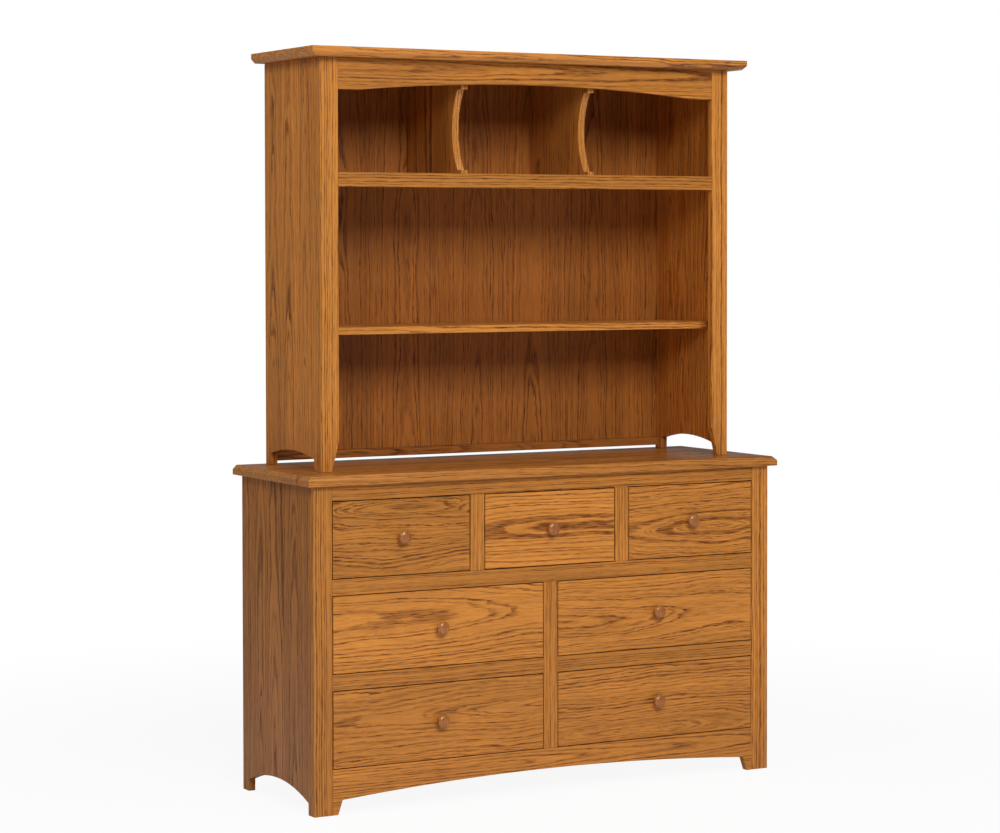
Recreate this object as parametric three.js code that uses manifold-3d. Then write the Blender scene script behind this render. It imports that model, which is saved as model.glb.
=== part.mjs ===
// Oak dresser with seven inset drawers, and the open bookcase hutch that stands on it.
// Millimetres, +Z up, front towards -Y, origin on the floor under the middle of the whole piece.

import * as THREE from "three";
import { mergeVertices } from "three/addons/utils/BufferGeometryUtils.js";
import Module from "manifold-3d";

const wasm = await Module();
wasm.setup();

// Joints and cuts
const jointGap = 0.3; // glue line or running gap left open between two touching pieces
const cutOverrun = 5; // how far a cutter runs past the face that it opens

// Dresser case, from the floor up
const caseWidth = 1372;
const caseDepth = 437.4;
const bottomRailTop = 115.2;
const lowerOpeningHeight = 199.3;
const upperOpeningHeight = 198;
const railHeight = 40.7;
const topRailHeight = 38.9;

// Face frame, glued to the front edges of the case
const frameThickness = 19;
const stileWidth = 52;
const mullionWidth = 41.3;

// Feet and arch that are cut into the bottom rail
const railFootHeight = 37;
const railFootFloorWidth = 15;
const railFootTopWidth = 27.5;
const railArchRise = 25.5;

// Case sides, with feet and arch, and the back in their rabbets
const sideThickness = 19;
const sideFrontFoot = 34.5; // as seen from the side, the stile counted
const sideBackFoot = 35.4;
const sideFootHeight = 31;
const sideArchRise = 34;
const backThickness = 6.35;
const backRabbetWidth = 9.5;

// Dresser top, bevelled on the upper front and end edges
const topThickness = 25.4;
const topEdgeFace = 14.8;
const topBevelRun = 10.6;
const topFrontOverhang = 17.7;
const topEndOverhang = 20.6;
const topBackOverhang = 14.6;

// Web frames, which carry, guide and stop the drawers
const webThickness = 12.7;
const guideHeight = 20;
const stopHeight = 16;
const stopThickness = 12.7;
const kickerReach = 20; // how far a kicker reaches over a drawer beside it

// Drawers
const frontThickness = 19;
const frontGap = 2.4;
const boxSideGap = 2.6;
const boxTopGap = 12;
const boxBackClearance = 31.75; // from the box to the back of the case
const boxWall = 12.7;
const drawerBottomThickness = 6.35;
const bottomGrooveDepth = 6;
const bottomGrooveHeight = 12;

// Turned drawer knobs, each on a tenon
const knobHeadDiameter = 35;
const knobNeckDiameter = 16;
const knobFootDiameter = 20;
const knobFootHeight = 3.5;
const knobNeckHeight = 8.5;
const knobRimHeight = 17;
const knobProjection = 25.4;
const knobTenonDiameter = 9;
const knobTenonLength = 14;
const knobTenonClearance = 0.4;

// Hutch carcase
const hutchEndInset = 68.6; // how far each of its sides stands in from the end of the case
const hutchDepth = 339.2;
const hutchHeight = 1054.7; // up to the underside of its top
const hutchBackInset = 1.9; // how far its back stands in front of the back of the dresser case
const hutchSideThickness = 19;
const hutchFrameThickness = 19;
const hutchStileWidth = 50.7;
const hutchFootFloorWidth = 31;
const hutchFootTaperHeight = 77.5;
const hutchFrontFoot = 43; // as seen from the side, the stile counted
const hutchBackFoot = 32;
const hutchFootHeight = 31;
const hutchArchRise = 16.5;
const hutchBackThickness = 6.35;
const hutchBackRabbetWidth = 9.5;
const backRailHeight = 21.5;
const backRailThickness = 19;
const backRailFloorGap = 9;

// Hutch top, bevelled on the lower front and end edges
const hutchTopThickness = 25.4;
const hutchTopEdgeFace = 14.2;
const hutchTopBevelRun = 10.6;
const hutchTopFrontOverhang = 40;
const hutchTopEndOverhang = 38.5;

// Arched top rail of the hutch
const archRailShoulderHeight = 80.7;
const archRailShoulderWidth = 60;
const archRailRise = 24.5;

// Fixed shelf and the rail on its front
const fixedShelfTop = 764.1;
const shelfThickness = 19;
const shelfRailHeight = 37.3;

// Two dividers above the fixed shelf, scooped out in front
const dividerThickness = 19;
const dividerLowerTip = 9;
const dividerUpperTip = 71;
const dividerTipReach = 20; // how far a tip stands out from the end of the scoop
const dividerScoopDepth = 30;

// Adjustable shelf, its supports and their rows of holes
const looseShelfBottom = 346.8;
const looseShelfSetback = 67.2;
const looseShelfEndGap = 2.5;
const looseShelfBackGap = 3;
const holeDiameter = 5;
const holeDepth = 10;
const holePitch = 48.5;
const holesAbove = 3;
const holesBelow = 3;
const frontHoleSetback = 74;
const backHoleInset = 60;
const holeAboveSupport = 9.8;
const supportWidth = 12;
const supportPlateThickness = 1.2;
const supportShelfThickness = 1.5;
const supportReach = 11;

// Facets
const archSteps = 24;
const scoopSteps = 20;
const knobSides = 20;
const knobCurveSteps = 4;
const holeSides = 8;

// Colours
const frontOak = 0xb8752f;
const sideOak = 0x8a5324;
const topOak = 0xa5682b;
const innerOak = 0x754820;
const boxWood = 0xcaa873;

// Heights and depths that several pieces share
const halfWidth = caseWidth / 2;
const innerHalfWidth = halfWidth - sideThickness;
const openingHalfWidth = halfWidth - stileWidth;
const lowerRowBottom = bottomRailTop;
const middleRowBottom = lowerRowBottom + lowerOpeningHeight + railHeight;
const upperRowBottom = middleRowBottom + lowerOpeningHeight + railHeight;
const caseHeight = upperRowBottom + upperOpeningHeight + topRailHeight;
const caseFloor = caseHeight + topThickness; // where the hutch stands
const backFront = caseDepth - backThickness;
const thirdOpeningWidth = (2 * openingHalfWidth - 2 * mullionWidth) / 3;
const halfOpeningWidth = openingHalfWidth - mullionWidth / 2;
const mullionCentre = (thirdOpeningWidth + mullionWidth) / 2;

const hutchHalfWidth = halfWidth - hutchEndInset;
const hutchInnerHalfWidth = hutchHalfWidth - hutchSideThickness;
const hutchOpeningHalfWidth = hutchHalfWidth - hutchStileWidth;
const hutchBack = caseDepth - hutchBackInset;
const hutchFront = hutchBack - hutchDepth;
const hutchFrameBack = hutchFront + hutchFrameThickness;
const hutchBackFront = hutchBack - hutchBackThickness;

const frontReach = Math.max(knobProjection, topFrontOverhang);
const backReach = caseDepth + topBackOverhang;
const quarterTurn = Math.PI / 2;

const model = new THREE.Group();
model.position.y = (frontReach - backReach) / 2;
const dresser = new THREE.Group();
const hutch = new THREE.Group();
hutch.position.z = caseFloor;
model.add(dresser, hutch);

// The solid that a closed geometry encloses.
function solidOf(geometry) {
  const bare = geometry.clone();
  bare.deleteAttribute("normal");
  bare.deleteAttribute("uv");
  const merged = mergeVertices(bare);
  const vertProperties = merged.attributes.position.array;
  const triVerts = new Uint32Array(merged.index.array);
  return new wasm.Manifold(new wasm.Mesh({ numProp: 3, vertProperties, triVerts }));
}

function geometryOf(solid) {
  const { vertProperties, triVerts } = solid.getMesh();
  const geometry = new THREE.BufferGeometry();
  geometry.setAttribute("position", new THREE.BufferAttribute(vertProperties, 3));
  geometry.setIndex(new THREE.BufferAttribute(triVerts, 1));
  geometry.computeVertexNormals();
  return geometry;
}

// A piece with others glued on and cutters taken away.
function shaped(base, glued, cutters) {
  const whole = glued.reduce((solid, piece) => solid.add(solidOf(piece)), solidOf(base));
  return geometryOf(cutters.reduce((solid, piece) => solid.subtract(solidOf(piece)), whole));
}

// A rectangular board between two places along each axis.
function board([x0, x1], [y0, y1], [z0, z1]) {
  const box = new THREE.BoxGeometry(x1 - x0, y1 - y0, z1 - z0);
  return box.translate((x0 + x1) / 2, (y0 + y1) / 2, (z0 + z1) / 2);
}

// The places a and b in rising order.
function between(a, b) {
  return [Math.min(a, b), Math.max(a, b)];
}

function extruded(outline, depth, curveSegments) {
  return new THREE.ExtrudeGeometry(outline, { depth, curveSegments, bevelEnabled: false });
}

// An outline seen from the front, in x and z, as a board from y = 0 back to its thickness.
function frontBoard(outline, thickness, curveSegments = archSteps) {
  return extruded(outline, thickness, curveSegments).rotateX(quarterTurn).translate(0, thickness, 0);
}

// An outline seen from the side, in y and z, as a panel from x = 0 to its thickness.
function sidePanel(outline, thickness, curveSegments = archSteps) {
  return extruded(outline, thickness, curveSegments).rotateY(quarterTurn).rotateX(quarterTurn);
}

// Carries an outline over a round arch, from one springing point to the other at the same height.
function archTo(outline, from, to, springing, rise) {
  const halfSpan = Math.abs(to - from) / 2;
  const radius = (halfSpan ** 2 + rise ** 2) / (2 * rise);
  const halfAngle = Math.asin(halfSpan / radius) * Math.sign(from - to);
  const start = quarterTurn - halfAngle;
  const end = quarterTurn + halfAngle;
  outline.absarc((from + to) / 2, springing + rise - radius, radius, start, end, from < to);
}

function addPiece(group, name, geometry, color, roughness = 0.45) {
  const material = new THREE.MeshStandardMaterial({ color, roughness, metalness: 0 });
  const mesh = new THREE.Mesh(geometry, material);
  mesh.name = name;
  group.add(mesh);
  return mesh;
}

// A top board, centred across x = 0 with its underside at z = 0. Its front and ends have a bevel
// above or below a square edge.
function bevelledTop(halfLength, front, back, thickness, edgeFace, bevelRun, bevelBelow) {
  const bevelHeight = thickness - edgeFace;
  const height = (z) => (bevelBelow ? thickness - z : z);
  const section = new THREE.Shape();
  section.moveTo(front, height(0));
  section.lineTo(back, height(0));
  section.lineTo(back, height(thickness));
  section.lineTo(front + bevelRun, height(thickness));
  section.lineTo(front, height(edgeFace));
  const plain = sidePanel(section, 2 * halfLength).translate(-halfLength, 0, 0);
  const cutters = [-1, 1].map((end) => {
    const outline = new THREE.Shape();
    outline.moveTo(end * (halfLength + bevelRun), height(edgeFace - bevelHeight));
    outline.lineTo(end * (halfLength + bevelRun), height(thickness + bevelHeight));
    outline.lineTo(end * (halfLength - 2 * bevelRun), height(thickness + bevelHeight));
    const length = back - front + 2 * cutOverrun;
    return frontBoard(outline, length).translate(0, front - cutOverrun, 0);
  });
  return shaped(plain, [], cutters);
}

// Case sides: a glued-up panel with an arch between two feet, rabbeted behind for the back.
function caseSideOutline() {
  const front = frameThickness + jointGap;
  const archBack = caseDepth - sideBackFoot;
  const outline = new THREE.Shape();
  outline.moveTo(front, 0);
  outline.lineTo(front, caseHeight - jointGap);
  outline.lineTo(caseDepth, caseHeight - jointGap);
  outline.lineTo(caseDepth, 0);
  outline.lineTo(archBack, 0);
  outline.lineTo(archBack, sideFootHeight);
  archTo(outline, archBack, sideFrontFoot, sideFootHeight, sideArchRise);
  outline.lineTo(sideFrontFoot, 0);
  return outline;
}

const caseBackBottom = bottomRailTop - webThickness;
const caseBackHalfWidth = innerHalfWidth + backRabbetWidth - jointGap;
for (const [name, side] of [["case_left_side", -1], ["case_right_side", 1]]) {
  const inner = side * innerHalfWidth;
  const rabbetX = between(inner - side * cutOverrun, inner + side * backRabbetWidth);
  const rabbetZ = [caseBackBottom - jointGap, caseHeight];
  const rabbet = board(rabbetX, [backFront - jointGap, caseDepth + cutOverrun], rabbetZ);
  const panel = sidePanel(caseSideOutline(), sideThickness);
  panel.translate(side > 0 ? innerHalfWidth : -halfWidth, 0, 0);
  addPiece(dresser, name, shaped(panel, [], [rabbet]), sideOak);
}

const caseBack = board(
  [-caseBackHalfWidth, caseBackHalfWidth],
  [backFront, caseDepth],
  [caseBackBottom, caseHeight - jointGap],
);
addPiece(dresser, "case_back", caseBack, innerOak);

const dresserTop = bevelledTop(
  halfWidth + topEndOverhang,
  -topFrontOverhang,
  backReach,
  topThickness,
  topEdgeFace,
  topBevelRun,
  false,
);
addPiece(dresser, "dresser_top", dresserTop, topOak).position.z = caseHeight;

// Face frame: two stiles from floor to top, rails between them, mullions between the rails.
const frameY = [0, frameThickness];
const railHalfWidth = openingHalfWidth - jointGap;
const stileZ = [0, caseHeight - jointGap];
const leftStile = board([-halfWidth, -openingHalfWidth], frameY, stileZ);
const rightStile = board([openingHalfWidth, halfWidth], frameY, stileZ);
addPiece(dresser, "frame_left_stile", leftStile, frontOak);
addPiece(dresser, "frame_right_stile", rightStile, frontOak);

const railX = [-railHalfWidth, railHalfWidth];
const upperRowTop = upperRowBottom + upperOpeningHeight;
const middleRowTop = middleRowBottom + lowerOpeningHeight;
const lowerRowTop = lowerRowBottom + lowerOpeningHeight;
const topRail = board(railX, frameY, [upperRowTop, caseHeight - jointGap]);
const upperRail = board(railX, frameY, [middleRowTop, upperRowBottom]);
addPiece(dresser, "frame_top_rail", topRail, frontOak);
addPiece(dresser, "frame_upper_rail", upperRail, frontOak);

const bottomRail = new THREE.Shape();
const railArchHalf = railHalfWidth - railFootTopWidth;
bottomRail.moveTo(-railHalfWidth, bottomRailTop);
bottomRail.lineTo(railHalfWidth, bottomRailTop);
bottomRail.lineTo(railHalfWidth, 0);
bottomRail.lineTo(railHalfWidth - railFootFloorWidth, 0);
bottomRail.lineTo(railArchHalf, railFootHeight);
archTo(bottomRail, railArchHalf, -railArchHalf, railFootHeight, railArchRise);
bottomRail.lineTo(railFootFloorWidth - railHalfWidth, 0);
bottomRail.lineTo(-railHalfWidth, 0);
addPiece(dresser, "frame_bottom_rail", frontBoard(bottomRail, frameThickness), frontOak);

const mullionHalf = mullionWidth / 2;
for (const [name, side] of [["frame_left_mullion", -1], ["frame_right_mullion", 1]]) {
  const mullionZ = [upperRowBottom + jointGap, upperRowTop - jointGap];
  const geometry = board([-mullionHalf, mullionHalf], frameY, mullionZ);
  addPiece(dresser, name, geometry, frontOak).position.x = side * mullionCentre;
}
const centreMullionZ = [lowerRowBottom + jointGap, middleRowTop - jointGap];
const centreMullion = board([-mullionHalf, mullionHalf], frameY, centreMullionZ);
addPiece(dresser, "frame_centre_mullion", centreMullion, frontOak);
for (const [name, side] of [["frame_left_middle_rail", -1], ["frame_right_middle_rail", 1]]) {
  const length = halfOpeningWidth - 2 * jointGap;
  const geometry = board([-length / 2, length / 2], frameY, [lowerRowTop, middleRowBottom]);
  const centre = (side * (openingHalfWidth + mullionHalf)) / 2;
  addPiece(dresser, name, geometry, frontOak).position.x = centre;
}

// Web frames: a flat board level with the top of its rail. Guides stand on it between the drawers
// and kickers hang from it over the drawer sides below, both behind the stiles and mullions.
const webX = [jointGap - innerHalfWidth, innerHalfWidth - jointGap];
const webY = [frameThickness + jointGap, backFront - jointGap];

function postSpans(mullionCentres, reach) {
  const middles = mullionCentres.map((x) => [x - mullionHalf - reach, x + mullionHalf + reach]);
  return [[webX[0], reach - openingHalfWidth], ...middles, [openingHalfWidth - reach, webX[1]]];
}

const twoColumns = [0];
const threeColumns = [-mullionCentre, mullionCentre];
const boxBack = backFront - boxBackClearance;
const stopY = [boxBack + jointGap, boxBack + jointGap + stopThickness];

function webFrame(top, guidesAt, kickersAt, kickerHeight) {
  const plate = board(webX, webY, [top - webThickness, top]);
  const kickerZ = [top - webThickness - kickerHeight, top - webThickness];
  const guideZ = [top, top + guideHeight];
  const kickers = kickersAt ? postSpans(kickersAt, kickerReach) : [];
  const guides = guidesAt ? postSpans(guidesAt, 0) : [];
  const stops = guidesAt ? [board(webX, stopY, [top, top + stopHeight])] : [];
  const glued = [
    ...kickers.map((span) => board(span, webY, kickerZ)),
    ...guides.map((span) => board(span, webY, guideZ)),
    ...stops,
  ];
  return shaped(plate, glued, []);
}

const betweenRowsKicker = railHeight - webThickness;
const topWeb = caseHeight - jointGap;
const webFrames = [
  ["web_frame_bottom", lowerRowBottom, twoColumns, null, 0],
  ["web_frame_lower", middleRowBottom, twoColumns, twoColumns, betweenRowsKicker],
  ["web_frame_upper", upperRowBottom, threeColumns, twoColumns, betweenRowsKicker],
  ["web_frame_top", topWeb, null, threeColumns, topWeb - webThickness - upperRowTop],
];
for (const [name, ...places] of webFrames) {
  addPiece(dresser, name, webFrame(...places), boxWood, 0.7);
}

// A turned knob along +Y from y = 0: tenon, foot, hollow neck, and a low dome on a full rim.
function knobGeometry() {
  const headRadius = knobHeadDiameter / 2;
  const neckRadius = knobNeckDiameter / 2;
  const profile = [
    new THREE.Vector2(0, -knobTenonLength),
    new THREE.Vector2(knobTenonDiameter / 2, -knobTenonLength),
    new THREE.Vector2(knobTenonDiameter / 2, jointGap),
    new THREE.Vector2(knobFootDiameter / 2, jointGap),
    new THREE.Vector2(knobFootDiameter / 2, knobFootHeight),
  ];
  for (let step = 0; step <= knobCurveSteps; step++) {
    const turn = (step / knobCurveSteps) * quarterTurn;
    const radius = headRadius - (headRadius - neckRadius) * Math.cos(turn);
    const height = knobNeckHeight + (knobRimHeight - knobNeckHeight) * Math.sin(turn);
    profile.push(new THREE.Vector2(radius, height));
  }
  for (let step = 1; step <= knobCurveSteps; step++) {
    const turn = (step / knobCurveSteps) * quarterTurn;
    const height = knobRimHeight + (knobProjection - knobRimHeight) * Math.sin(turn);
    profile.push(new THREE.Vector2(step < knobCurveSteps ? headRadius * Math.cos(turn) : 0, height));
  }
  return new THREE.LatheGeometry(profile, knobSides);
}

// A drawer in its own frame: x = 0 in the middle, y = 0 at the face, z = 0 on the web frame.
function addDrawer(name, openingWidth, openingHeight, x, z) {
  const drawer = new THREE.Group();
  drawer.position.set(x, 0, z);
  dresser.add(drawer);

  const frontHalf = openingWidth / 2 - frontGap;
  const face = board([-frontHalf, frontHalf], [0, frontThickness], [frontGap, openingHeight - frontGap]);
  const holeRadius = knobTenonDiameter / 2 + knobTenonClearance;
  const holeLength = knobTenonLength + knobTenonClearance + cutOverrun;
  const knobHole = new THREE.CylinderGeometry(holeRadius, holeRadius, holeLength, knobSides);
  knobHole.translate(0, holeLength / 2 - cutOverrun, openingHeight / 2);
  addPiece(drawer, `${name}_front`, shaped(face, [], [knobHole]), frontOak);

  const knob = addPiece(drawer, `${name}_knob`, knobGeometry(), frontOak, 0.3);
  knob.rotation.x = Math.PI;
  knob.position.z = openingHeight / 2;

  const half = openingWidth / 2 - boxSideGap;
  const front = frontThickness + jointGap;
  const boxZ = [jointGap, openingHeight - boxTopGap];
  const outside = board([-half, half], [front, boxBack], boxZ);
  const inHalf = half - boxWall;
  const inY = [front + boxWall, boxBack - boxWall];
  const inside = board([-inHalf, inHalf], inY, [boxZ[0] - cutOverrun, boxZ[1] + cutOverrun]);
  const bottomZ = boxZ[0] + bottomGrooveHeight;
  const sheet = (depth, gap) =>
    board(
      [-inHalf - depth, inHalf + depth],
      [inY[0] - depth, inY[1] + depth],
      [bottomZ - gap, bottomZ + drawerBottomThickness + gap],
    );
  const groove = sheet(bottomGrooveDepth, jointGap);
  addPiece(drawer, `${name}_box`, shaped(outside, [], [inside, groove]), boxWood, 0.6);
  addPiece(drawer, `${name}_bottom`, sheet(bottomGrooveDepth - jointGap, 0), boxWood, 0.6);
}

const thirdStep = thirdOpeningWidth + mullionWidth;
const halfStep = (halfOpeningWidth + mullionWidth) / 2;
addDrawer("upper_left_drawer", thirdOpeningWidth, upperOpeningHeight, -thirdStep, upperRowBottom);
addDrawer("upper_middle_drawer", thirdOpeningWidth, upperOpeningHeight, 0, upperRowBottom);
addDrawer("upper_right_drawer", thirdOpeningWidth, upperOpeningHeight, thirdStep, upperRowBottom);
addDrawer("middle_left_drawer", halfOpeningWidth, lowerOpeningHeight, -halfStep, middleRowBottom);
addDrawer("middle_right_drawer", halfOpeningWidth, lowerOpeningHeight, halfStep, middleRowBottom);
addDrawer("lower_left_drawer", halfOpeningWidth, lowerOpeningHeight, -halfStep, lowerRowBottom);
addDrawer("lower_right_drawer", halfOpeningWidth, lowerOpeningHeight, halfStep, lowerRowBottom);

// Hutch, in its own frame with z = 0 on the dresser top.
const hutchSideTop = hutchHeight - jointGap;

function hutchSideOutline() {
  const archBack = hutchBack - hutchBackFoot;
  const archFront = hutchFront + hutchFrontFoot;
  const outline = new THREE.Shape();
  outline.moveTo(hutchFrameBack + jointGap, jointGap);
  outline.lineTo(hutchFrameBack + jointGap, hutchSideTop);
  outline.lineTo(hutchBack, hutchSideTop);
  outline.lineTo(hutchBack, jointGap);
  outline.lineTo(archBack, jointGap);
  outline.lineTo(archBack, hutchFootHeight);
  archTo(outline, archBack, archFront, hutchFootHeight, hutchArchRise);
  outline.lineTo(archFront, jointGap);
  return outline;
}

// Places of the support columns, and of the rows of holes that the shelf can hang from.
const holeColumns = [hutchFront + frontHoleSetback, hutchBackFront - backHoleInset];
const supportRow = looseShelfBottom + holeAboveSupport;
const holeRows = [];
for (let row = -holesBelow; row <= holesAbove; row++) {
  if (row !== 0) holeRows.push(supportRow + row * holePitch);
}

// An angled support: a plate on the side and a ledge under the shelf, at one column.
function supportPieces(y, side) {
  const face = side * hutchInnerHalfWidth;
  const ySpan = [y - supportWidth / 2, y + supportWidth / 2];
  const root = face + (side * hutchSideThickness) / 2;
  const ledgeTop = looseShelfBottom - jointGap;
  const plateX = between(face - side * supportPlateThickness, root);
  const plate = board(plateX, ySpan, [ledgeTop, supportRow + holeDiameter]);
  const ledgeX = between(face - side * supportReach, root);
  const ledge = board(ledgeX, ySpan, [ledgeTop - supportShelfThickness, ledgeTop]);
  return [plate, ledge];
}

for (const [name, side] of [["hutch_left_side", -1], ["hutch_right_side", 1]]) {
  const face = side * hutchInnerHalfWidth;
  const panel = sidePanel(hutchSideOutline(), hutchSideThickness);
  panel.translate(side > 0 ? hutchInnerHalfWidth : -hutchHalfWidth, 0, 0);
  const rabbetX = between(face - side * cutOverrun, face + side * hutchBackRabbetWidth);
  const rabbetZ = [backRailFloorGap + backRailHeight, hutchHeight];
  const rabbet = board(rabbetX, [hutchBackFront - jointGap, hutchBack + cutOverrun], rabbetZ);
  const holes = holeColumns.flatMap((y) =>
    holeRows.map((z) => {
      const length = holeDepth + cutOverrun;
      const hole = new THREE.CylinderGeometry(holeDiameter / 2, holeDiameter / 2, length, holeSides);
      return hole.rotateZ(quarterTurn).translate(face + (side * (holeDepth - cutOverrun)) / 2, y, z);
    }),
  );
  const supports = holeColumns.flatMap((y) => supportPieces(y, side));
  addPiece(hutch, name, shaped(panel, supports, [rabbet, ...holes]), sideOak);
}

for (const [name, side] of [["hutch_left_stile", -1], ["hutch_right_stile", 1]]) {
  const outer = side * hutchHalfWidth;
  const inner = side * hutchOpeningHalfWidth;
  const outline = new THREE.Shape();
  outline.moveTo(outer, jointGap);
  outline.lineTo(outer, hutchSideTop);
  outline.lineTo(inner, hutchSideTop);
  outline.lineTo(inner, hutchFootTaperHeight);
  outline.lineTo(outer - side * hutchFootFloorWidth, jointGap);
  addPiece(hutch, name, frontBoard(outline, hutchFrameThickness), frontOak).position.y = hutchFront;
}

const hutchRailHalf = hutchOpeningHalfWidth - jointGap;
const archHalf = hutchRailHalf - archRailShoulderWidth;
const shoulder = hutchHeight - archRailShoulderHeight;
const archRail = new THREE.Shape();
archRail.moveTo(-hutchRailHalf, hutchSideTop);
archRail.lineTo(hutchRailHalf, hutchSideTop);
archRail.lineTo(hutchRailHalf, shoulder);
archRail.lineTo(archHalf, shoulder);
archTo(archRail, archHalf, -archHalf, shoulder, archRailRise);
archRail.lineTo(-hutchRailHalf, shoulder);
const archRailPiece = frontBoard(archRail, hutchFrameThickness);
addPiece(hutch, "hutch_arched_rail", archRailPiece, frontOak).position.y = hutchFront;

const hutchFrameY = [hutchFront, hutchFrameBack];
const shelfRailZ = [fixedShelfTop - shelfRailHeight, fixedShelfTop];
const shelfRail = board([-hutchRailHalf, hutchRailHalf], hutchFrameY, shelfRailZ);
addPiece(hutch, "hutch_shelf_rail", shelfRail, frontOak);

const insideY = [hutchFrameBack + jointGap, hutchBackFront - jointGap];
const insideX = [jointGap - hutchInnerHalfWidth, hutchInnerHalfWidth - jointGap];
const fixedShelf = board(insideX, insideY, [fixedShelfTop - shelfThickness, fixedShelfTop]);
addPiece(hutch, "hutch_fixed_shelf", fixedShelf, innerOak);

const looseShelfX = [looseShelfEndGap - hutchInnerHalfWidth, hutchInnerHalfWidth - looseShelfEndGap];
const looseShelfY = [hutchFront + looseShelfSetback, hutchBackFront - looseShelfBackGap];
const looseShelfZ = [looseShelfBottom, looseShelfBottom + shelfThickness];
const looseShelf = board(looseShelfX, looseShelfY, looseShelfZ);
addPiece(hutch, "hutch_adjustable_shelf", looseShelf, innerOak);

const hutchBackHalf = hutchInnerHalfWidth + hutchBackRabbetWidth - jointGap;
const hutchBackZ = [backRailFloorGap + backRailHeight + jointGap, hutchSideTop];
const hutchBackPanel = board([-hutchBackHalf, hutchBackHalf], [hutchBackFront, hutchBack], hutchBackZ);
addPiece(hutch, "hutch_back", hutchBackPanel, innerOak);

const backRailZ = [backRailFloorGap, backRailFloorGap + backRailHeight];
const backRail = board(insideX, [hutchBack - backRailThickness, hutchBack], backRailZ);
addPiece(hutch, "hutch_back_rail", backRail, innerOak);

// Dividers stand on the fixed shelf and part the opening between the stiles into three.
const dividerBottom = fixedShelfTop + jointGap;
const compartments = 3;
const dividerCentre = (hutchOpeningHalfWidth + dividerThickness / 2) / compartments;
const scoopSpring = [dividerBottom + dividerLowerTip, hutchHeight - dividerUpperTip];
const scoopHalf = (scoopSpring[1] - scoopSpring[0]) / 2;
const scoopRadius = (scoopHalf ** 2 + dividerScoopDepth ** 2) / (2 * dividerScoopDepth);
const scoopAngle = Math.asin(scoopHalf / scoopRadius);
const scoopEnd = insideY[0] + dividerTipReach;
const scoopCentre = scoopEnd + dividerScoopDepth - scoopRadius;
const scoopMiddle = (scoopSpring[0] + scoopSpring[1]) / 2;
for (const [name, side] of [["hutch_left_divider", -1], ["hutch_right_divider", 1]]) {
  const outline = new THREE.Shape();
  outline.moveTo(insideY[0], dividerBottom);
  outline.lineTo(insideY[1], dividerBottom);
  outline.lineTo(insideY[1], hutchSideTop);
  outline.lineTo(insideY[0], hutchSideTop);
  outline.lineTo(insideY[0], scoopSpring[1]);
  outline.absarc(scoopCentre, scoopMiddle, scoopRadius, scoopAngle, -scoopAngle, true);
  outline.lineTo(insideY[0], scoopSpring[0]);
  const geometry = sidePanel(outline, dividerThickness, scoopSteps).translate(-dividerThickness / 2, 0, 0);
  addPiece(hutch, name, geometry, innerOak).position.x = side * dividerCentre;
}

const hutchTop = bevelledTop(
  hutchHalfWidth + hutchTopEndOverhang,
  hutchFront - hutchTopFrontOverhang,
  hutchBack,
  hutchTopThickness,
  hutchTopEdgeFace,
  hutchTopBevelRun,
  true,
);
addPiece(hutch, "hutch_top", hutchTop, topOak).position.z = hutchHeight;

export default model;
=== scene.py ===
"""Oak dresser with seven drawers and the open bookcase hutch that stands on it.

Metres, +Z up, front towards -Y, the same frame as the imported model.
"""

import math

import bmesh
import bpy
import numpy as np
from mathutils import Matrix, Vector


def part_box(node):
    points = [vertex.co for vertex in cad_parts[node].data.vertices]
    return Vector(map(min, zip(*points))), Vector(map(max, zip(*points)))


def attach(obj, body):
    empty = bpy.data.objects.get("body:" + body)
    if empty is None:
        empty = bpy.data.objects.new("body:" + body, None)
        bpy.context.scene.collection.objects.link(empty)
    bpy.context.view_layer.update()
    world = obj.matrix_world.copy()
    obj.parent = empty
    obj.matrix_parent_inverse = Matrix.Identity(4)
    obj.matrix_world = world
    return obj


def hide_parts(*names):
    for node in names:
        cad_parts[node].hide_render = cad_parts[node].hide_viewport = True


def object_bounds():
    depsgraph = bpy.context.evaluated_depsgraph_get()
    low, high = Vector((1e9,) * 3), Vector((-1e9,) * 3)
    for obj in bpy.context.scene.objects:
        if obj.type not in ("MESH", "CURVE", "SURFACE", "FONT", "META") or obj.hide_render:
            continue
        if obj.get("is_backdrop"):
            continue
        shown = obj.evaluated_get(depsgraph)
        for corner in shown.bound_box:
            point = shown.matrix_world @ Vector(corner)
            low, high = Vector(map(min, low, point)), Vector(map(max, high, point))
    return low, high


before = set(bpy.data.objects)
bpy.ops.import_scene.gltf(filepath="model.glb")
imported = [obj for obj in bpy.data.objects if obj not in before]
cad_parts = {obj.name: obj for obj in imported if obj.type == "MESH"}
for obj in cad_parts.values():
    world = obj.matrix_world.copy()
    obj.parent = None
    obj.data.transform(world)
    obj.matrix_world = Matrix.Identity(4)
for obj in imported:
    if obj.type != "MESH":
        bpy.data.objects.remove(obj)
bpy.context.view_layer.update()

# The studio: a plain pale floor, the camera at the photograph's viewing angle, and soft light.
# A large softbox stands in front, a little left of the middle, with smaller ones left and above.
# The floor glows for the camera alone, so that it runs out into plain white.


def look(yaw, pitch, roll):
    """The turn of a camera that faces +Y, then turns right by yaw, down by pitch and rolls clockwise."""
    ahead = np.array(
        [
            math.sin(yaw) * math.cos(pitch),
            math.cos(yaw) * math.cos(pitch),
            -math.sin(pitch),
        ]
    )
    right = np.array([math.cos(yaw), -math.sin(yaw), 0])
    down = np.cross(ahead, right)
    rolled_right = math.cos(roll) * right + math.sin(roll) * down
    rolled_down = -math.sin(roll) * right + math.cos(roll) * down
    return Matrix(np.column_stack([rolled_right, -rolled_down, -ahead]).tolist())


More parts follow.
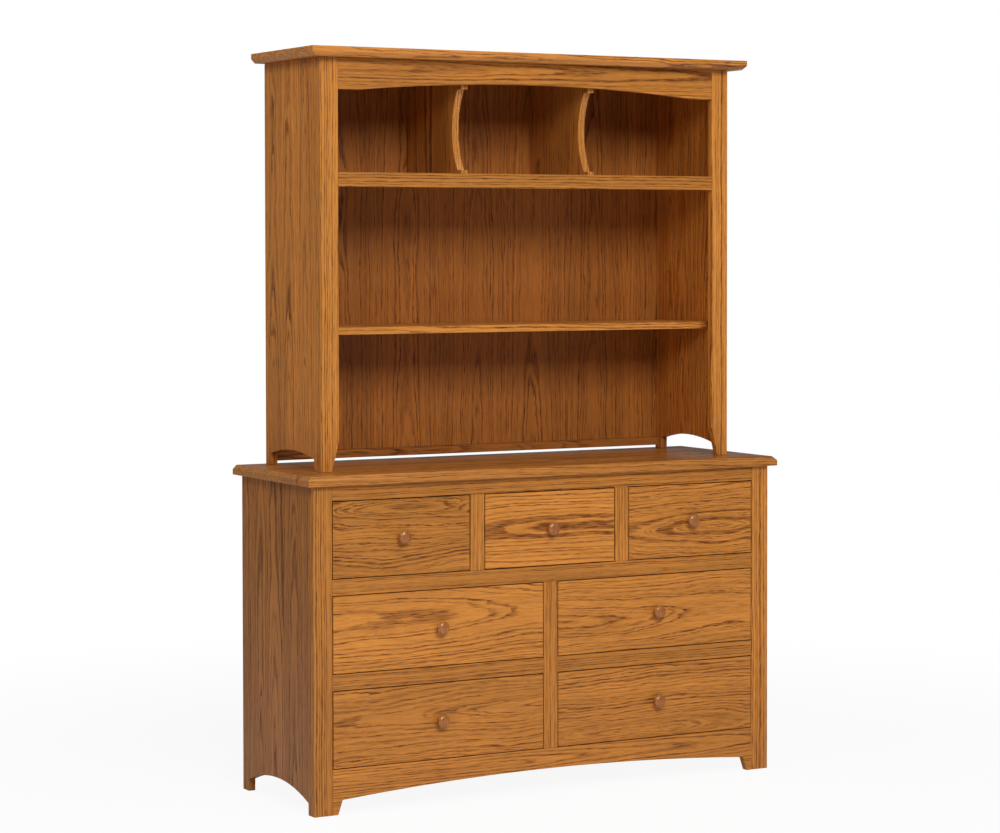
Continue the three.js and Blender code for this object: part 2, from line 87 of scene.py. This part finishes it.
camera = bpy.data.objects.new("camera", bpy.data.cameras.new("camera"))
bpy.context.scene.collection.objects.link(camera)
camera.data.sensor_width = 36
camera.data.lens = 101.347
camera.data.shift_y = -0.0803
camera.data.clip_end = 60
turn = look(math.radians(29.116), math.radians(1.831), math.radians(0.087))
camera.matrix_world = Matrix.Translation((-3.69194, -6.57101, 1.43212)) @ turn.to_4x4()
bpy.context.scene.camera = camera
bpy.context.scene.view_settings.view_transform = "Standard"


def add(tree, kind, inputs=(), **settings):
    """A node of that kind in the tree. Its inputs, by place or name, are values or other nodes' outputs."""
    made = tree.nodes.new(kind)
    for setting, value in settings.items():
        setattr(made, setting, value)
    pairs = inputs.items() if isinstance(inputs, dict) else enumerate(inputs)
    for socket, value in pairs:
        if isinstance(value, bpy.types.NodeSocket):
            tree.links.new(value, made.inputs[socket])
        elif value is not None:
            made.inputs[socket].default_value = value
    return made


def studio_white():
    """A white painted floor with a faint roller mottle. Seen by the camera it glows a little, and
    fully further off, so that it runs into the white surroundings without an edge."""
    material = bpy.data.materials.new("white_floor")
    material.use_nodes = True
    tree = material.node_tree
    place = add(tree, "ShaderNodeTexCoord").outputs["Object"]
    mottle = add(tree, "ShaderNodeTexNoise", {"Vector": place, "Scale": 9.0}).outputs[0]
    tones = {"Factor": mottle, "A": (0.90, 0.90, 0.90, 1), "B": (0.94, 0.94, 0.94, 1)}
    painted = add(tree, "ShaderNodeMix", tones, data_type="RGBA").outputs["Result"]
    surface = tree.nodes["Principled BSDF"]
    tree.links.new(painted, surface.inputs["Base Color"])
    surface.inputs["Roughness"].default_value = 0.7
    away = add(tree, "ShaderNodeVectorMath", [place], operation="LENGTH").outputs["Value"]
    spread = {"Value": away, "From Min": 1.0, "From Max": 3.2, "To Min": 0.92}
    glow = add(tree, "ShaderNodeMapRange", spread, interpolation_type="SMOOTHSTEP")
    ray = add(tree, "ShaderNodeLightPath").outputs["Is Camera Ray"]
    share = add(tree, "ShaderNodeMath", [glow.outputs[0], ray], operation="MULTIPLY")
    lit = add(tree, "ShaderNodeEmission", [(1, 1, 1, 1), 1.0]).outputs[0]
    both = add(tree, "ShaderNodeMixShader", [share.outputs[0], surface.outputs[0], lit])
    tree.links.new(both.outputs[0], tree.nodes["Material Output"].inputs[0])
    return material


floor_reach = 14
floor_mesh = bpy.data.meshes.new("studio_floor")
floor_mesh.from_pydata(
    [
        (-floor_reach, -floor_reach, 0),
        (floor_reach, -floor_reach, 0),
        (floor_reach, floor_reach, 0),
        (-floor_reach, floor_reach, 0),
    ],
    [],
    [(0, 1, 2, 3)],
)
floor_mesh.materials.append(studio_white())
floor = bpy.data.objects.new("studio_floor", floor_mesh)
bpy.context.scene.collection.objects.link(floor)
floor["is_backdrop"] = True

surroundings = bpy.data.worlds.new("white_studio")
surroundings.use_nodes = True
sky = surroundings.node_tree
seen = add(sky, "ShaderNodeLightPath").outputs["Is Camera Ray"]
walls = add(sky, "ShaderNodeBackground", [(1, 1, 1, 1), 0.17])
backdrop = add(sky, "ShaderNodeBackground", [(1, 1, 1, 1), 1.0])
shown = add(sky, "ShaderNodeMixShader", [seen, walls.outputs[0], backdrop.outputs[0]])
sky.links.new(shown.outputs[0], sky.nodes["World Output"].inputs[0])
bpy.context.scene.world = surroundings


def softbox(name, place, aim, width, height, power):
    """A rectangular area light at place, facing aim."""
    lamp = bpy.data.lights.new(name, "AREA")
    lamp.shape = "RECTANGLE"
    lamp.size, lamp.size_y, lamp.energy = width, height, power
    made = bpy.data.objects.new(name, lamp)
    bpy.context.scene.collection.objects.link(made)
    facing = (Vector(aim) - Vector(place)).to_track_quat("-Z", "Y")
    made.matrix_world = Matrix.Translation(place) @ facing.to_matrix().to_4x4()


softbox("front_light", (-1.0, -5.2, 4.0), (0, 0, 0.8), 3.4, 2.0, 245)
softbox("left_light", (-3.3, -0.4, 3.6), (-0.6, 0, 1.2), 1.6, 1.6, 42)
softbox("top_light", (0.3, -1.6, 4.6), (0, 0, 0.8), 2.6, 1.6, 25)

# Dresser sides.
# Glued-up oak planks with the grain upright, an arch cut between front and back foot.
# Planed, stained golden brown and lacquered; the back sits in a rabbet behind.


def group_of(name, inputs, outputs):
    """An empty shader node group with sockets given as (name, kind) pairs."""
    group = bpy.data.node_groups.new(name, "ShaderNodeTree")
    for in_out, sockets in (("INPUT", inputs), ("OUTPUT", outputs)):
        for title, kind in sockets:
            group.interface.new_socket(
                title, in_out=in_out, socket_type="NodeSocket" + kind
            )
    return group


def math_of(tree, operation, *values):
    return add(tree, "ShaderNodeMath", values, operation=operation).outputs[0]


def eased(tree, value, low, high):
    """0 below low, 1 above high, with a smooth step between."""
    made = add(
        tree,
        "ShaderNodeMapRange",
        {"Value": value, "From Min": low, "From Max": high},
        interpolation_type="SMOOTHSTEP",
    )
    return made.outputs[0]


def noise_of(tree, place, stretch, detail, roughness=0.5):
    """Noise from 0 to 1 on a place that is stretched by so much along each axis."""
    scaled = add(tree, "ShaderNodeVectorMath", [place, stretch], operation="MULTIPLY")
    made = add(
        tree,
        "ShaderNodeTexNoise",
        {
            "Vector": scaled.outputs[0],
            "Scale": 1.0,
            "Detail": detail,
            "Roughness": roughness,
        },
    )
    return made.outputs[0]


oak_inputs = [
    ("Board", "Vector"),
    ("Plank Width", "Float"),
    ("Plank Spread", "Float"),
    ("Seed", "Float"),
    ("Heart Across", "Float"),
    ("Heart Depth", "Float"),
    ("Heart Tilt", "Float"),
    ("Ring", "Float"),
    ("Wander", "Float"),
    ("Light", "Color"),
    ("Dark", "Color"),
]
oak_outputs = [("Colour", "Color"), ("Roughness", "Float"), ("Height", "Float")]
oak_figure = group_of("oak_figure", oak_inputs, oak_outputs)
inside = add(oak_figure, "NodeGroupInput").outputs
board_axes = add(oak_figure, "ShaderNodeSeparateXYZ", [inside["Board"]]).outputs
# Planks side by side across a glued-up panel, each with its own seed
plank_place = math_of(oak_figure, "DIVIDE", board_axes[1], inside["Plank Width"])
plank = math_of(oak_figure, "FLOOR", math_of(oak_figure, "ADD", plank_place, 0.5))
plank_seed = math_of(oak_figure, "MULTIPLY_ADD", plank, 5.37, inside["Seed"])
plank_draw = add(
    oak_figure,
    "ShaderNodeTexWhiteNoise",
    {"W": plank_seed},
    noise_dimensions="1D",
)
draws = add(
    oak_figure, "ShaderNodeSeparateColor", [plank_draw.outputs["Color"]]
).outputs
plank_middle = math_of(oak_figure, "MULTIPLY", plank, inside["Plank Width"])
across = math_of(oak_figure, "SUBTRACT", board_axes[1], plank_middle)
seeded_along = math_of(
    oak_figure, "MULTIPLY_ADD", draws[0], 40.0, board_axes[0]
)
seeded_along = math_of(oak_figure, "ADD", seeded_along, inside["Seed"])
seeded = add(
    oak_figure,
    "ShaderNodeCombineXYZ",
    [seeded_along, board_axes[1], board_axes[2]],
).outputs[0]
# Distance from the heart of the log, wandering slowly and rippling along the grain
swing = math_of(
    oak_figure, "SUBTRACT", noise_of(oak_figure, seeded, (2.3, 8, 8), 2.0), 0.5
)
ripple = math_of(
    oak_figure, "SUBTRACT", noise_of(oak_figure, seeded, (13, 60, 60), 3, 0.6), 0.5
)
sway = math_of(oak_figure, "MULTIPLY_ADD", ripple, 0.26, swing)
wander = math_of(oak_figure, "MULTIPLY", sway, inside["Wander"])
spread = math_of(
    oak_figure,
    "MULTIPLY",
    math_of(oak_figure, "SUBTRACT", draws[1], 0.5),
    inside["Plank Spread"],
)
heart_across = math_of(oak_figure, "ADD", inside["Heart Across"], spread)
offset_across = math_of(oak_figure, "SUBTRACT", across, heart_across)
offset_depth = math_of(
    oak_figure, "MULTIPLY_ADD", board_axes[0], inside["Heart Tilt"], board_axes[2]
)
offset_depth = math_of(oak_figure, "ADD", offset_depth, inside["Heart Depth"])
offset_depth = math_of(
    oak_figure, "MULTIPLY_ADD", draws[2], inside["Plank Spread"], offset_depth
)
squared = math_of(oak_figure, "MULTIPLY", offset_across, offset_across)
squared = math_of(
    oak_figure, "MULTIPLY_ADD", offset_depth, offset_depth, squared
)
radius = math_of(oak_figure, "ADD", math_of(oak_figure, "SQRT", squared), wander)
# Good and lean years: rings of uneven width and strength
year = math_of(oak_figure, "DIVIDE", radius, inside["Ring"])
weather_place = math_of(oak_figure, "MULTIPLY_ADD", year, 0.45, inside["Seed"])
weather = add(oak_figure, "ShaderNodeTexNoise", {"W": weather_place, "Scale": 1.0, "Detail": 1.0}, noise_dimensions="1D").outputs[0]
ring_place = math_of(oak_figure, "MULTIPLY_ADD", weather, 2.2, year)
ring = math_of(oak_figure, "FRACT", ring_place)
ring_number = math_of(oak_figure, "FLOOR", ring_place)
ring_draw = add(oak_figure, "ShaderNodeTexWhiteNoise", {"W": math_of(oak_figure, "ADD", ring_number, inside["Seed"])}, noise_dimensions="1D").outputs[0]
ring_strength = math_of(oak_figure, "MULTIPLY_ADD", ring_draw, 0.75, 0.45)
band = math_of(
    oak_figure,
    "MULTIPLY",
    eased(oak_figure, ring, 0.0, 0.16),
    math_of(oak_figure, "SUBTRACT", 1.0, eased(oak_figure, ring, 0.2, 0.66)),
)
# Open pores in the dark early wood, fine fibre everywhere, and slow drifts of tone
streak = noise_of(oak_figure, seeded, (26, 560, 560), 2, 0.55)
pores = eased(oak_figure, streak, 0.44, 0.66)
early = math_of(
    oak_figure, "MULTIPLY", band, math_of(oak_figure, "MULTIPLY_ADD", pores, 0.5, 0.5)
)
early = math_of(oak_figure, "MULTIPLY", early, ring_strength)
fibre = noise_of(oak_figure, seeded, (8, 150, 150), 4, 0.65)
drift = noise_of(oak_figure, seeded, (1.6, 13, 13), 2)
stain = math_of(oak_figure, "MULTIPLY_ADD", pores, 0.26, early)
stain = math_of(oak_figure, "MINIMUM", stain, 1.0)
stained = add(
    oak_figure,
    "ShaderNodeMix",
    {"Factor": stain, "A": inside["Light"], "B": inside["Dark"]},
    data_type="RGBA",
)
shade = math_of(oak_figure, "MULTIPLY_ADD", fibre, 0.62, 0.69)
shade = math_of(
    oak_figure,
    "MULTIPLY",
    shade,
    math_of(oak_figure, "MULTIPLY_ADD", drift, 0.5, 0.75),
)
shade = math_of(
    oak_figure,
    "MULTIPLY",
    shade,
    math_of(oak_figure, "MULTIPLY_ADD", draws[0], 0.16, 0.92),
)
toned = add(
    oak_figure,
    "ShaderNodeVectorMath",
    {0: stained.outputs["Result"], "Scale": shade},
    operation="SCALE",
)
gloss = math_of(oak_figure, "MULTIPLY_ADD", early, 0.16, 0.36)
dip = math_of(oak_figure, "MULTIPLY_ADD", early, -0.7, 1.0)
dip = math_of(oak_figure, "MULTIPLY_ADD", pores, -0.3, dip)
add(oak_figure, "NodeGroupOutput", [toned.outputs[0], gloss, dip])

golden_light = (0.60, 0.230, 0.040, 1)
golden_dark = (0.14, 0.034, 0.005, 1)


def oak_material(
    name,
    node,
    axes,
    seed,
    heart=(0.0, 0.03, 0.05),
    ring=0.0075,
    wander=0.03,
    plank=10.0,
    spread=0.0,
    light=golden_light,
    dark=golden_dark,
    lacquer=0.08,
    tone_and_shade=1.0,
):
    """Stained oak for the board that a CAD node is. axes names the row's axes that run along the
    grain, across the face and through it; heart is where the middle of the log lies: so far across,
    so deep behind the face, and tilted by so much along the board.
    The tone factor makes one board lighter or darker than its neighbours: partly the board's own tone, partly
    painted shade on pieces that stand in less light and painted light on those in more."""
    material = bpy.data.materials.new(name)
    material.use_nodes = True
    tree = material.node_tree
    low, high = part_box(node)
    middle = (low + high) / 2
    coordinates = add(tree, "ShaderNodeTexCoord").outputs["Object"]
    centred = add(
        tree, "ShaderNodeMapping", {"Vector": coordinates, "Location": -middle}
    )
    parts = add(tree, "ShaderNodeSeparateXYZ", [centred.outputs[0]]).outputs
    board = add(
        tree, "ShaderNodeCombineXYZ", [parts["XYZ".index(axis)] for axis in axes]
    )
    figure = add(
        tree,
        "ShaderNodeGroup",
        [
            board.outputs[0],
            plank,
            spread,
            seed,
            heart[0],
            heart[1],
            heart[2],
            ring,
            wander,
            [share * tone_and_shade for share in light[:3]] + [1],
            [share * tone_and_shade for share in dark[:3]] + [1],
        ],
        node_tree=oak_figure,
    )
    relief = add(
        tree,
        "ShaderNodeBump",
        {
            "Strength": 0.35,
            "Distance": 0.0004,
            "Height": figure.outputs["Height"],
        },
    )
    surface = tree.nodes["Principled BSDF"]
    tree.links.new(figure.outputs["Colour"], surface.inputs["Base Color"])
    tree.links.new(figure.outputs["Roughness"], surface.inputs["Roughness"])
    tree.links.new(relief.outputs[0], surface.inputs["Normal"])
    surface.inputs["Coat Weight"].default_value = lacquer
    surface.inputs["Coat Roughness"].default_value = 0.18
    surface.inputs["Specular IOR Level"].default_value = 0.2
    return material


def eased_board(node, body, material, arris=0.0012, shortest=0.012, longest=9.0):
    """A merged copy of the CAD board whose long corners get a small round of radius arris, as
    sandpaper leaves them. Shorter edges, such as those round a hole, stay sharp."""
    mesh = bpy.data.meshes.new(node + "_oak")
    shell = bmesh.new()
    shell.from_mesh(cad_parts[node].data)
    bmesh.ops.remove_doubles(shell, verts=shell.verts, dist=1e-5)
    bmesh.ops.dissolve_limit(
        shell, angle_limit=math.radians(0.5), verts=shell.verts, edges=shell.edges
    )
    eased_weight = shell.edges.layers.float.new("bevel_weight_edge")
    for edge in shell.edges:
        corner = edge.calc_face_angle(0) > math.radians(33)
        long = shortest < edge.calc_length() < longest
        edge[eased_weight] = float(corner and long)
    shell.to_mesh(mesh)
    shell.free()
    mesh.materials.clear()
    mesh.materials.append(material)
    piece = bpy.data.objects.new(node + "_oak", mesh)
    bpy.context.scene.collection.objects.link(piece)
    rounding = piece.modifiers.new("arris", "BEVEL")
    rounding.limit_method = "WEIGHT"
    rounding.width = arris
    rounding.segments = 3
    rounding.use_clamp_overlap = False
    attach(piece, body)
    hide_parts(node)
    return piece


# The sides take a darker copy of the golden oak, toned down further for the dresser: painted shade on the sides,
# which face away from the light.
shaded_side_light = (0.54, 0.196, 0.032, 1)
shaded_side_dark = (0.14, 0.034, 0.005, 1)
for name, seed in (("case_left_side", 3.0), ("case_right_side", 17.0)):
    grain = oak_material(
        name + "_oak",
        name,
        "ZYX",
        seed,
        heart=(0.0, 0.02, 0.03),
        wander=0.03,
        plank=0.105,
        spread=0.05,
        light=shaded_side_light,
        dark=shaded_side_dark,
        tone_and_shade=0.8,
    )
    eased_board(name, "case", grain)

# Dresser back.
# One sheet of oak-faced plywood, set in the rabbets of the sides and pinned.
back_oak = oak_material(
    "case_back_oak",
    "case_back",
    "ZXY",
    31.0,
    heart=(0.0, 0.02, 0.02),
    plank=0.32,
    spread=0.05,
    lacquer=0.0,
)
eased_board("case_back", "case", back_oak, arris=0.0004)

# Face frame.
# Solid oak stiles and mullions with upright grain, rails with level grain, glued to the case.
# Each is a board of its own, so each has its own growth rings.
# Their tones make the left-hand pieces darker than the right-hand ones: partly the boards' own tone, partly
# painted shade.
for name, seed, heart, tone_and_shade in (
    ("frame_left_stile", 5.0, (0.06, 0.01, 0.01), 0.78),
    ("frame_right_stile", 9.0, (-0.05, 0.02, 0.01), 1.05),
    ("frame_left_mullion", 13.0, (0.05, 0.02, 0.02), 0.85),
    ("frame_right_mullion", 19.0, (-0.04, 0.02, 0.03), 0.9),
    ("frame_centre_mullion", 23.0, (0.05, 0.03, 0.02), 0.85),
):
    grain = oak_material(
        name + "_oak", name, "ZXY", seed, heart=heart, ring=0.007, wander=0.014, tone_and_shade=tone_and_shade
    )
    eased_board(name, "case", grain)
for name, seed, heart, tone_and_shade in (
    ("frame_top_rail", 27.0, (0.05, 0.03, 0.01), 0.85),
    ("frame_upper_rail", 33.0, (-0.05, 0.03, 0.02), 0.85),
    ("frame_left_middle_rail", 37.0, (0.04, 0.02, 0.02), 0.78),
    ("frame_right_middle_rail", 41.0, (-0.05, 0.02, 0.02), 0.85),
    ("frame_bottom_rail", 45.0, (0.03, 0.02, 0.03), 0.9),
):
    grain = oak_material(
        name + "_oak", name, "XZY", seed, heart=heart, ring=0.0075, wander=0.016, tone_and_shade=tone_and_shade
    )
    eased_board(name, "case", grain)

# Web frames.
# Pale softwood frames that carry the drawers, with guides, kickers and stops glued on.
pale_light = (0.66, 0.46, 0.24, 1)
pale_dark = (0.50, 0.31, 0.13, 1)
for number, name in enumerate(
    ("web_frame_bottom", "web_frame_lower", "web_frame_upper", "web_frame_top")
):
    grain = oak_material(
        name + "_wood",
        name,
        "XYZ",
        51.0 + 4 * number,
        heart=(0.1, 0.04, 0.02),
        wander=0.02,
        light=pale_light,
        dark=pale_dark,
        lacquer=0.0,
    )
    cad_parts[name].data.materials.clear()
    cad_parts[name].data.materials.append(grain)

# Dresser top.
# Glued-up oak planks with level grain and a bevel along the upper front and end edges.
top_oak = oak_material(
    "dresser_top_oak",
    "dresser_top",
    "XYZ",
    61.0,
    heart=(0.0, 0.03, 0.03),
    plank=0.11,
    spread=0.05,
    lacquer=0.4,
    tone_and_shade=0.86,
)
eased_board("dresser_top", "case", top_oak, arris=0.0015)

# Drawer fronts.
# Flat-sawn oak boards set flush in the frame, each with its own cathedral figure.
drawer_figures = {
    "upper_left": (71.0, (0.075, 0.012, -0.11), 0.0085, 0.06, 0.86),
    "upper_middle": (74.0, (0.0, 0.03, -0.03), 0.0095, 0.03, 1.0),
    "upper_right": (79.0, (-0.02, 0.016, -0.10), 0.0085, 0.065, 1.04),
    "middle_left": (83.0, (0.03, 0.05, 0.06), 0.0095, 0.035, 1.06),
    "middle_right": (88.0, (-0.01, 0.03, 0.06), 0.0095, 0.05, 0.97),
    "lower_left": (93.0, (0.02, 0.03, -0.06), 0.0095, 0.05, 0.84),
    "lower_right": (98.0, (-0.075, 0.012, 0.06), 0.0085, 0.05, 0.94),
}
for drawer, (seed, heart, ring_width, wander_width, tone_and_shade) in drawer_figures.items():
    name = drawer + "_drawer_front"
    grain = oak_material(
        name + "_oak",
        name,
        "XZY",
        seed,
        heart=heart,
        ring=ring_width,
        wander=wander_width,
        tone_and_shade=tone_and_shade,
    )
    eased_board(name, drawer + "_drawer", grain, arris=0.001)

# Drawer boxes.
# Thin hardwood sides with a plywood bottom in a groove, left pale and only sealed.
for number, drawer in enumerate(drawer_figures):
    for part, axes, plain_slot in (("box", "YZX", "drawer_wood"), ("bottom", "XYZ", "drawer_wood")):
        name = f"{drawer}_drawer_{part}"
        grain = oak_material(
            name + "_wood",
            name,
            axes,
            101.0 + 3 * number,
            heart=(0.06, 0.05, 0.01),
            wander=0.01,
            light=pale_light,
            dark=pale_dark,
            lacquer=0.1,
        )
        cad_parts[name].data.materials.clear()
        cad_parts[name].data.materials.append(grain)

# Drawer knobs.
# Turned oak knobs: a foot on the drawer front, a hollow neck, a full rim and a low domed head.
# Each stands on the face of its front, over its hole.
knob_rings = 72
knob_sides = 64
knob_profile = np.array(
    [
        (0.0, 0.0003),
        (0.0099, 0.0003),
        (0.0100, 0.0014),
        (0.0097, 0.0030),
        (0.0085, 0.0044),
        (0.0079, 0.0062),
        (0.0081, 0.0082),
        (0.0098, 0.0101),
        (0.0132, 0.0122),
        (0.0163, 0.0145),
        (0.0175, 0.0166),
        (0.0175, 0.0180),
        (0.0166, 0.0201),
        (0.0144, 0.0224),
        (0.0106, 0.0242),
        (0.0055, 0.0252),
        (0.0, 0.0254),
    ]
)


def turned(name, profile, rings, sides, centre):
    """A closed surface of revolution. Its profile of radius and height is resampled at even steps
    of its smoothed length, and each point is turned round an axis that runs towards -Y from centre."""
    steps = np.hypot(*np.diff(profile, axis=0).T)
    run = np.concatenate([[0], np.cumsum(steps)])
    even = np.linspace(0, run[-1], rings)
    radius, height = np.interp(even, run, profile[:, 0]), np.interp(even, run, profile[:, 1])
    soft = np.array([0.25, 0.5, 0.25])
    for _ in range(3):
        radius[1:-1] = np.convolve(radius, soft, "valid")
        height[1:-1] = np.convolve(height, soft, "valid")
    radius, height = radius[1:-1], height[1:-1]
    angle = np.linspace(0, 2 * np.pi, sides, endpoint=False)
    x = centre[0] + np.outer(radius, np.cos(angle))
    z = centre[2] + np.outer(radius, np.sin(angle))
    y = centre[1] - np.repeat(height[:, None], sides, axis=1)
    ends = [(centre[0], centre[1] - profile[0, 1], centre[2]), (centre[0], centre[1] - profile[-1, 1], centre[2])]
    points = np.vstack([np.stack([x, y, z], axis=-1).reshape(-1, 3), ends])
    row = np.arange(len(radius) - 1)[:, None] * sides
    here = np.arange(sides)[None, :]
    after = (here + 1) % sides
    quads = np.stack([row + here, row + after, row + sides + after, row + sides + here], axis=-1)
    first, last = len(points) - 2, len(points) - 1
    rim = (len(radius) - 1) * sides
    foot = np.stack([np.full(sides, first), after[0], here[0]], axis=-1)
    head = np.stack([np.full(sides, last), rim + here[0], rim + after[0]], axis=-1)
    mesh = bpy.data.meshes.new(name)
    mesh.from_pydata(points.tolist(), [], quads.reshape(-1, 4).tolist() + foot.tolist() + head.tolist())
    mesh.shade_smooth()
    return mesh


for number, drawer in enumerate(drawer_figures):
    node = drawer + "_drawer_knob"
    low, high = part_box(node)
    front_low, front_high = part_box(drawer + "_drawer_front")
    centre = ((low.x + high.x) / 2, front_low.y, (low.z + high.z) / 2)
    knob_mesh = turned(node + "_oak", knob_profile, knob_rings, knob_sides, centre)
    knob_mesh.materials.append(
        oak_material(
            node + "_oak",
            node,
            "ZXY",
            131.0 + 2 * number,
            heart=(0.01, 0.02, 0.02),
            ring=0.0035,
            wander=0.004,
            light=(0.40, 0.135, 0.024, 1),
            dark=(0.15, 0.036, 0.005, 1),
            lacquer=0.8,
        )
    )
    knob = bpy.data.objects.new(node + "_oak", knob_mesh)
    bpy.context.scene.collection.objects.link(knob)
    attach(knob, drawer + "_drawer")
    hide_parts(node)

# Hutch sides.
# Glued-up oak panels like those of the dresser, with two columns of shelf pin holes inside.
# They take the same darker copy of the oak, toned back up to about the plain oak, so that only the dresser's
# sides below keep the painted shade.
for name, seed in (("hutch_left_side", 151.0), ("hutch_right_side", 163.0)):
    grain = oak_material(
        name + "_oak",
        name,
        "ZYX",
        seed,
        heart=(0.0, 0.02, 0.03),
        wander=0.03,
        plank=0.105,
        spread=0.05,
        light=shaded_side_light,
        dark=shaded_side_dark,
        tone_and_shade=1.1,
    )
    eased_board(name, "case", grain)

# Hutch back and back rail.
# Oak-faced plywood in the rabbets of the sides, above a low rail that stays clear of the top.
# The back and its rail take a darker copy of the oak: partly the boards' own colour, partly painted shade inside
# the hutch.
inside_plywood_and_shade_light = (0.36, 0.122, 0.022, 1)
inside_plywood_and_shade_dark = (0.10, 0.024, 0.004, 1)
panel = oak_material(
    "hutch_back_oak",
    "hutch_back",
    "ZXY",
    171.0,
    heart=(0.0, 0.02, 0.02),
    plank=0.2,
    spread=0.06,
    light=inside_plywood_and_shade_light,
    dark=inside_plywood_and_shade_dark,
    lacquer=0.0,
)
eased_board("hutch_back", "case", panel, arris=0.0004)
rail = oak_material("hutch_back_rail_oak", "hutch_back_rail", "XZY", 177.0, light=inside_plywood_and_shade_light, dark=inside_plywood_and_shade_dark)
eased_board("hutch_back_rail", "case", rail)

# Hutch face frame.
# Tapered stiles, an arched rail under the top and a plain rail along the fixed shelf.
# The right stile is toned lighter than the left: partly its own tone, partly painted light.
for name, seed, heart, tone_and_shade in (
    ("hutch_left_stile", 181.0, (0.05, 0.02, 0.01), 1.0),
    ("hutch_right_stile", 187.0, (-0.05, 0.02, 0.01), 1.12),
):
    grain = oak_material(
        name + "_oak", name, "ZXY", seed, heart=heart, ring=0.007, wander=0.014, tone_and_shade=tone_and_shade
    )
    eased_board(name, "case", grain)
for name, seed, heart, tone_and_shade in (
    ("hutch_arched_rail", 191.0, (0.02, 0.03, 0.02), 0.8),
    ("hutch_shelf_rail", 197.0, (0.05, 0.02, 0.01), 0.8),
):
    grain = oak_material(
        name + "_oak", name, "XZY", seed, heart=heart, ring=0.0075, wander=0.018, tone_and_shade=tone_and_shade
    )
    eased_board(name, "case", grain)

# Hutch shelves and dividers.
# A fixed shelf in the sides, a loose shelf on four supports, and two scooped dividers.
for name, seed, body in (
    ("hutch_fixed_shelf", 211.0, "case"),
    ("hutch_adjustable_shelf", 217.0, "adjustable_shelf"),
):
    grain = oak_material(
        name + "_oak",
        name,
        "XYZ",
        seed,
        heart=(0.0, 0.02, 0.02),
        plank=0.1,
        spread=0.05,
    )
    eased_board(name, body, grain, arris=0.0018)
for name, seed in (("hutch_left_divider", 223.0), ("hutch_right_divider", 227.0)):
    grain = oak_material(
        name + "_oak",
        name,
        "ZYX",
        seed,
        heart=(0.02, 0.02, 0.02),
        plank=0.1,
        spread=0.05,
        tone_and_shade=0.9,
        lacquer=0.5,
    )
    eased_board(name, "case", grain, arris=0.0045, shortest=0.0098, longest=0.0125)

# Hutch top.
# Glued-up oak planks, bevelled below along the front and end edges.
crown = oak_material(
    "hutch_top_oak",
    "hutch_top",
    "XYZ",
    233.0,
    heart=(0.0, 0.03, 0.03),
    plank=0.11,
    spread=0.05,
    lacquer=0.5,
)
eased_board("hutch_top", "case", crown, arris=0.0015)

# Size of the dressed model.
# One box round every piece shown except the floor, lowest and highest corner, in metres.
low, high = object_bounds()
